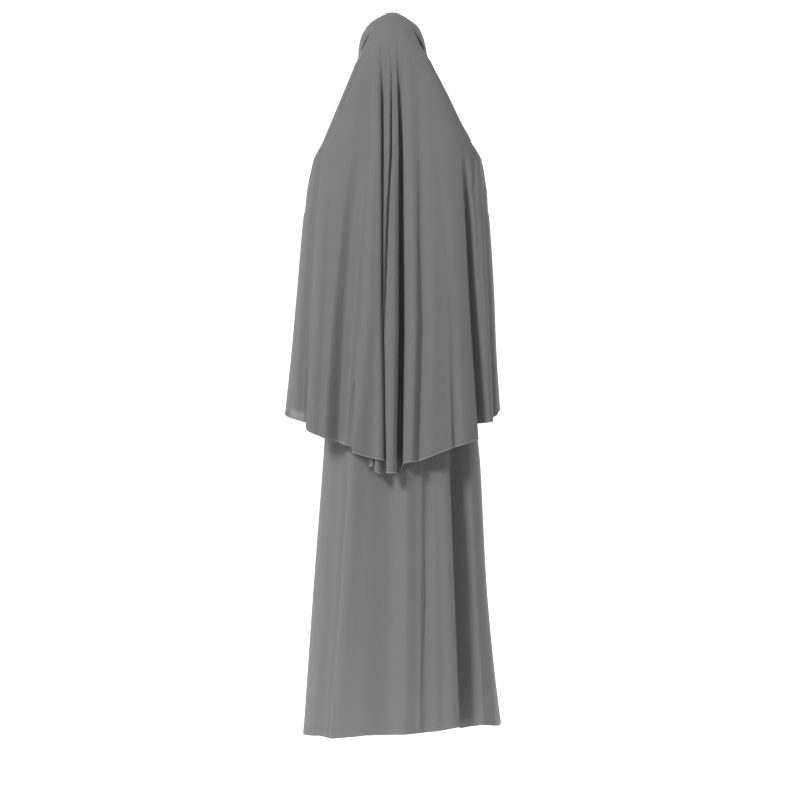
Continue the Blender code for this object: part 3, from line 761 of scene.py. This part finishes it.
def shell_faces(rows, columns, closed):
    """Quads of an outer and an inner grid of points, and of the edges that join them."""
    inside = rows * columns
    index = np.arange(inside).reshape(rows, columns)
    wrap = np.concatenate([index, index[:, :1]], axis=1) if closed else index
    corners = [wrap[:-1, :-1], wrap[:-1, 1:], wrap[1:, 1:], wrap[1:, :-1]]
    face = np.stack(corners, axis=-1).reshape(-1, 4)
    if closed:
        loops = [wrap[0, ::-1], wrap[-1]]
    else:
        loops = [np.concatenate([index[0, ::-1], index[1:, 0], index[-1, 1:], index[-2::-1, -1]])]
    edges = [
        np.stack([loop[:-1], loop[1:], loop[1:] + inside, loop[:-1] + inside], axis=-1)
        for loop in loops
    ]
    return np.concatenate([face, face[:, ::-1] + inside] + edges)


def shell(name, outer, inner, material, closed=False, pale=None):
    """A thin closed shell between two grids of points, with lengths of cloth as its map."""
    vertices = np.concatenate([outer.reshape(-1, 3), inner.reshape(-1, 3)])
    faces = shell_faces(*outer.shape[:2], closed)
    item = add_mesh(name, vertices.tolist(), faces.tolist(), material)
    mesh = item.data
    mesh.set_sharp_from_angle(angle=SHARP_ANGLE)
    across, down = lengths_along(outer, 1), lengths_along(outer, 0)
    across = across - across.mean(axis=1, keepdims=True)
    flat = np.tile(np.stack([across, down], axis=-1).reshape(-1, 2), (2, 1))
    corners = np.empty(len(mesh.loops), dtype=np.int32)
    mesh.loops.foreach_get("vertex_index", corners)
    mesh.uv_layers.new(name=CLOTH_MAP).data.foreach_set("uv", flat[corners].ravel())
    # Painted light: how far each point's colour is painted towards the paler grey
    values = np.zeros(outer.shape[:2]) if pale is None else pale
    layer = mesh.attributes.new(PAINTED_LIGHT_LAYER, "FLOAT", "POINT")
    layer.data.foreach_set("value", np.tile(values.ravel(), 2))
    return item


def stitch_corners(start, length, line, out):
    """The corners of one short thread: three rings of three points, highest in the middle."""
    ends = [point_along(start + part, length, line) for part in (-STITCH_LENGTH / 2, STITCH_LENGTH / 2)]
    up = unit(point_along(start, length, out))
    beside = np.cross(up, unit(ends[1] - ends[0]))
    rings = ((ends[0], 0.0), ((ends[0] + ends[1]) / 2, THREAD), (ends[1], 0.0))
    return [
        tuple(middle + beside * way * THREAD + up * (lift * THREAD + raised))
        for middle, raised in rings
        for way, lift in ((-1.0, 0.0), (0.0, 1.0), (1.0, 0.0))
    ]


def stitch_row(name, line, out, material):
    """Short threads along a line of points with directions out of the cloth, as one mesh."""
    length = lengths_along(line[None], 1)[0]
    count = int(length[-1] / STITCH_STEP)
    vertices, faces = [], []
    for start in (np.arange(count) + 0.5) * length[-1] / count:
        first = len(vertices)
        vertices += stitch_corners(start, length, line, out)
        for ring in (first, first + 3):
            for side in range(3):
                a, b = ring + side, ring + (side + 1) % 3
                faces.append((a, b, b + 3, a + 3))
        faces += [(first, first + 2, first + 1), (first + 6, first + 7, first + 8)]
    return add_mesh(name, vertices, faces, material)


def grey_colour(grey):
    return (grey, grey, grey * BLUE_SHARE, 1.0)


def set_sockets(node, values):
    for name, value in values.items():
        node.inputs[name].default_value = value


def new_material(name, look):
    """A material, its nodes and links, and its shader with a look set on its own sockets."""
    material = bpy.data.materials.new(name)
    material.use_nodes = True
    tree = material.node_tree
    shader = tree.nodes["Principled BSDF"]
    set_sockets(shader, look)
    return material, tree.nodes, tree.links, shader


def add_colour_mix(nodes, links, share, first, second):
    """A colour between two others by a share. The first one is a colour or another mix."""
    mix = nodes.new("ShaderNodeMix")
    mix.data_type = "RGBA"
    links.new(share, mix.inputs[MIX_SHARE])
    if isinstance(first, tuple):
        mix.inputs[MIX_FIRST].default_value = first
    else:
        links.new(first, mix.inputs[MIX_FIRST])
    mix.inputs[MIX_SECOND].default_value = second
    return mix.outputs[MIX_COLOUR]


def cloth_material(name, grey):
    """Matte jersey: a soft grey that varies a little, with fine upright ribs and a slight sheen."""
    material, nodes, links, shader = new_material(name, CLOTH_LOOK)
    place = nodes.new("ShaderNodeUVMap")
    place.uv_map = CLOTH_MAP
    textures = []
    for kind, values in (("Noise", PATCHES), ("Wave", RIBS), ("Noise", GRAIN)):
        texture = nodes.new("ShaderNodeTex" + kind)
        set_sockets(texture, values)
        links.new(place.outputs["UV"], texture.inputs["Vector"])
        textures.append(texture)
    patches, ribs, grain = textures
    ribs.bands_direction = "X"
    dark, light = (grey_colour(grey * (1 + way * COLOUR_VARIES)) for way in (-1, 1))
    colour = add_colour_mix(nodes, links, patches.outputs["Fac"], dark, light)
    # Painted light: where the layer says so, the colour is mixed towards a paler grey, as a painted
    # highlight on the rolled hem and painted light shining through the cloth
    pale = nodes.new("ShaderNodeAttribute")
    pale.attribute_name = PAINTED_LIGHT_LAYER
    colour = add_colour_mix(nodes, links, pale.outputs["Fac"], colour, grey_colour(PAINTED_LIGHT_GREY))
    links.new(colour, shader.inputs["Base Color"])
    height = nodes.new("ShaderNodeMath")
    height.operation = "ADD"
    links.new(ribs.outputs["Fac"], height.inputs[0])
    links.new(grain.outputs["Fac"], height.inputs[1])
    bump = nodes.new("ShaderNodeBump")
    set_sockets(bump, RELIEF)
    links.new(height.outputs[0], bump.inputs["Height"])
    links.new(bump.outputs["Normal"], shader.inputs["Normal"])
    return material


def thread_material(name, grey):
    return new_material(name, {"Base Color": (grey, grey, grey, 1.0), "Roughness": THREAD_ROUGHNESS})[0]


def add_sheet(piece, node, threads):
    """Stands a piece of cloth and its threads for its node, hung from the root, and hides the node's own
    part.
    """
    for part in [piece] + threads:
        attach(part, "root")
    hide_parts(node)


def panel_piece(node, panel, places, rings, hem, material, thread, patch=None):
    """A panel's cloth and the stitches along its hem."""
    points = with_hem(panel, places, rings, hem)
    if panel.front:
        points = points[:, ::-1]
    outer, inner = finished(points, hem, seams=True)
    piece = shell(node + "_cloth", outer, inner, material, pale=painted_light_share(points, hem, patch))
    heights = hem_rows(hem)
    row = len(points) - len(heights) + heights.index(hem["stitch"])
    out = grid_normals(outer, False)
    return piece, stitch_row(node + "_stitches", outer[row], out[row], thread)


def last_body_ring(panel, hem):
    """The ring from which the hem's own rows take over."""
    return panel.hem_ring(hem_rows(hem)[0] + ROW_LENGTH / 2)


def make_khimar(material, thread):
    """The hooded cape: a band round the face opening, and a back and a front joined at the sides."""
    sizes = (KHIMAR_RINGS, KHIMAR_STATIONS)
    outline = Outline(KHIMAR_RINGS, KHIMAR_OUTLINE)
    back = Panel(
        *sizes, KHIMAR_BACK_FOLDS, KHIMAR_BACK_HEM, KHIMAR_DROP_STARTS,
        creases=HOOD_CREASES, outline=outline,
    )
    front = Panel(
        *sizes, KHIMAR_FRONT_FOLDS, KHIMAR_FRONT_HEM, KHIMAR_DROP_STARTS, front=True, outline=outline,
    )
    under = make_under_folds(material)
    for node, panel, flat, patch, others in (
        ("khimar_back", back, KHIMAR_BACK_CUT, PAINTED_LIGHT_PATCH, [under]),
        ("khimar_front", front, KHIMAR_FRONT_CUT, None, []),
    ):
        rings = panel.rows([
            (BAND_SEAM_RING, TEMPLE_RINGS[0], CROWN_ROW_LENGTH),
            (*TEMPLE_RINGS, TEMPLE_ROW_LENGTH),
            (TEMPLE_RINGS[1], last_body_ring(panel, KHIMAR_HEM), ROW_LENGTH),
        ])
        places = panel.columns(COLUMN_WIDTH)
        piece, stitches = panel_piece(node, panel, places, rings, KHIMAR_HEM, material, thread, patch)
        add_sheet(piece, node, [stitches] + others)
    make_face_band(material, outline)


def make_under_folds(material):
    """The small folds that hang below the cape's hem beside its middle, seen from the back."""
    size = dict(zip(UNDER_FOLD_COLUMNS, np.array(UNDER_FOLDS)[::-1].T))
    where = np.linspace(0, len(UNDER_FOLDS) - 1, UNDER_FOLD_STEPS)
    across, behind = smooth_values(size["across"], where), smooth_values(size["behind"], where)
    low = np.interp(where, np.arange(len(UNDER_FOLDS)), size["height"])
    hem_part = np.array(hem_rows(KHIMAR_HEM)) / (UNDER_FOLD_TOP - low.min())
    body_part = np.linspace(0, 1 - UNDER_FOLD_BODY_ENDS * hem_part[0], UNDER_FOLD_ROWS)
    down = np.concatenate([body_part, 1 - hem_part])[:, None]
    points = np.stack([
        across * np.ones_like(down),
        UNDER_FOLD_CLOTH_Y - behind * (UNDER_FOLD_TOP_SHARE + (1 - UNDER_FOLD_TOP_SHARE) * down),
        UNDER_FOLD_TOP + (low - UNDER_FOLD_TOP) * down,
    ], axis=-1)
    outer, inner = finished(points, KHIMAR_HEM, seams=False)
    return shell("khimar_back_under_folds", outer, inner, material, pale=painted_light_share(points, KHIMAR_HEM))


def make_face_band(material, outline):
    """A folded casing round the face opening, gathered a little by its elastic."""
    rings = np.linspace(0.0, BAND_SEAM_RING, BAND_ROWS)
    turns = np.linspace(-math.pi / 2, 1.5 * math.pi, BAND_STEPS, endpoint=False)
    angles = turns[None].repeat(BAND_ROWS, 0)
    points = outline.drawn(ring_points(KHIMAR_RINGS, rings, angles))
    out = grid_normals(points, True)
    share = rings[:, None]
    gather = BAND_GATHER * np.sin(BAND_WAVES * angles) * np.sin(math.pi * share)
    seam = SEAM_DIP * smooth_step((share - BAND_SEAM_STARTS) / (1 - BAND_SEAM_STARTS))
    outer = points + out * (gather - seam)[:, :, None]
    piece = shell("khimar_face_band_cloth", outer, outer - out * BAND_THICK, material, closed=True)
    add_sheet(piece, "khimar_face_band", [])


def make_abaya(material, thread):
    """The long dress: a back and a front joined at the shoulders and sides, and two set-in sleeves."""
    armhole = (ABAYA_SHOULDER_POINT, ABAYA_UNDERARM)
    sizes = (ABAYA_RINGS, ABAYA_STATIONS)
    back = Panel(*sizes, ABAYA_BACK_FOLDS, ABAYA_BACK_HEM, ABAYA_DROP_STARTS, armhole=armhole)
    front = Panel(
        *sizes, ABAYA_FRONT_FOLDS, ABAYA_FRONT_HEM, ABAYA_DROP_STARTS, front=True, armhole=armhole,
    )
    turns = np.linspace(0, math.pi, SLEEVE_STEPS_AROUND // 2 + 1)
    down_armhole = (ABAYA_UNDERARM - ABAYA_SHOULDER_POINT) * (1 - np.cos(turns)) / 2
    beside_armhole = ABAYA_SHOULDER_POINT + down_armhole
    for node, panel, flat in (
        ("abaya_back", back, ABAYA_BACK_CUT),
        ("abaya_front", front, ABAYA_FRONT_CUT),
    ):
        shoulder = panel.rows([(0.0, ABAYA_SHOULDER_POINT, SHOULDER_ROW_LENGTH)])
        skirt = panel.rows([(ABAYA_UNDERARM, last_body_ring(panel, ABAYA_HEM), ROW_LENGTH)])
        rings = np.concatenate([shoulder[:-1], beside_armhole, skirt[1:]])
        places = panel.columns(COLUMN_WIDTH)
        piece, stitches = panel_piece(node, panel, places, rings, ABAYA_HEM, material, thread)
        add_sheet(piece, node, [stitches])
    for side, way in SLEEVE_SIDES:
        loop = armhole_loop(back, front, beside_armhole, way)
        make_sleeve("abaya_sleeve_" + side, loop, way, material)


def armhole_loop(back, front, rings, way):
    """The sleeve's first ring: on the armhole, down its back edge and up its front edge."""
    edges = []
    for panel in (back, front):
        end = panel.knots[-1:] if way > 0 else panel.knots[:1]
        edges.append(panel.plain(end, rings)[:, 0])
    return np.concatenate([edges[0], edges[1][-2:0:-1]])


def make_sleeve(node, loop, way, material):
    """A bent tube from the armhole to the cuff, flattened between the body and the cape."""
    turns = np.linspace(0, 2 * math.pi, SLEEVE_STEPS_AROUND, endpoint=False)[:, None]
    rings = [loop]
    for row in SLEEVE_RINGS:
        size = dict(zip(SLEEVE_COLUMNS, row))
        outer, inner = (
            np.array([SLEEVE_MIDDLE_X + way * size[side + "_x"], size["middle_y"], size[side + "_z"]])
            for side in ("outer", "inner")
        )
        backward = np.array([0.0, size["half_back"], 0.0])
        outward = (outer - inner) / 2
        rings.append((outer + inner) / 2 + outward * np.cos(turns) + backward * np.sin(turns))
    last = len(rings) - 1.0
    body = np.linspace(0, last - SLEEVE_HEM_STARTS, SLEEVE_ROWS)
    points = smooth_values(np.stack(rings), np.concatenate([body, last - SLEEVE_HEM_ROWS]))
    if way > 0:
        points = points[:, ::-1]
    outer, inner = finished(points, ABAYA_HEM, seams=False, closed=True)
    piece = shell(node + "_cloth", outer, inner, material, closed=True)
    add_sheet(piece, node, [])


def add_stage():
    """A pale floor that curves up into a backdrop behind the set."""
    profile = [(STAGE_NEAR, FLOOR_Z)]
    for turn in np.linspace(0, math.pi / 2, STAGE_STEPS):
        profile.append((
            STAGE_FAR + STAGE_CURVE - STAGE_CURVE * math.sin(turn),
            FLOOR_Z + STAGE_CURVE - STAGE_CURVE * math.cos(turn),
        ))
    profile.append((STAGE_FAR, STAGE_TOP))
    vertices = [(x, y, z) for y, z in profile for x in (-STAGE_SIDE, STAGE_SIDE)]
    faces = [(2 * row, 2 * row + 1, 2 * row + 3, 2 * row + 2) for row in range(len(profile) - 1)]
    material, nodes, links, shader = new_material("stage_paint", STAGE_LOOK)
    place = nodes.new("ShaderNodeTexCoord")
    parts = nodes.new("ShaderNodeSeparateXYZ")
    links.new(place.outputs["Object"], parts.inputs[0])
    glow = nodes.new("ShaderNodeMapRange")
    start, end = GLOW_ENDS
    set_sockets(glow, {"From Min": start, "From Max": end, "To Min": STAGE_GLOW, "To Max": 0.0})
    links.new(parts.outputs["Y"], glow.inputs["Value"])
    links.new(glow.outputs["Result"], shader.inputs["Emission Strength"])
    add_mesh("stage", vertices, faces, material)


def add_lights():
    for name, place, target, size, power in LIGHTS:
        light = bpy.data.lights.new(name, "AREA")
        light.shape = "RECTANGLE"
        light.size, light.size_y = size
        light.energy = power
        item = add_object(name, light)
        item.location = place
        item.rotation_euler = (Vector(target) - Vector(place)).to_track_quat("-Z", "Y").to_euler()


def add_world():
    """A pale room that lights the set less than it shows."""
    world = bpy.data.worlds.new("studio")
    world.use_nodes = True
    nodes, links = world.node_tree.nodes, world.node_tree.links
    background = nodes["Background"]
    background.inputs["Color"].default_value = (1.0, 1.0, 1.0, 1.0)
    rays = nodes.new("ShaderNodeLightPath")
    strength = nodes.new("ShaderNodeMapRange")
    set_sockets(strength, {"To Min": WORLD_STRENGTH, "To Max": WORLD_SEEN})
    links.new(rays.outputs["Is Camera Ray"], strength.inputs["Value"])
    links.new(strength.outputs["Result"], background.inputs["Strength"])
    bpy.context.scene.world = world


def add_camera():
    data = bpy.data.cameras.new("camera")
    data.sensor_width = CAMERA_SENSOR
    data.lens = CAMERA_LENS
    data.clip_end = CAMERA_REACH
    camera = add_object("camera", data)
    camera.location = CAMERA_PLACE
    camera.rotation_euler = (math.pi / 2, 0.0, math.pi)
    bpy.context.scene.camera = camera


khimar_cloth = cloth_material("khimar_jersey", KHIMAR_GREY)
abaya_cloth = cloth_material("abaya_jersey", ABAYA_GREY)
khimar_thread = thread_material("khimar_thread", KHIMAR_GREY * THREAD_LIGHTER)
abaya_thread = thread_material("abaya_thread", ABAYA_GREY * THREAD_LIGHTER)
make_khimar(khimar_cloth, khimar_thread)
make_abaya(abaya_cloth, abaya_thread)
add_stage()
add_lights()
add_world()
add_camera()
bpy.context.scene.view_settings.view_transform = "Standard"
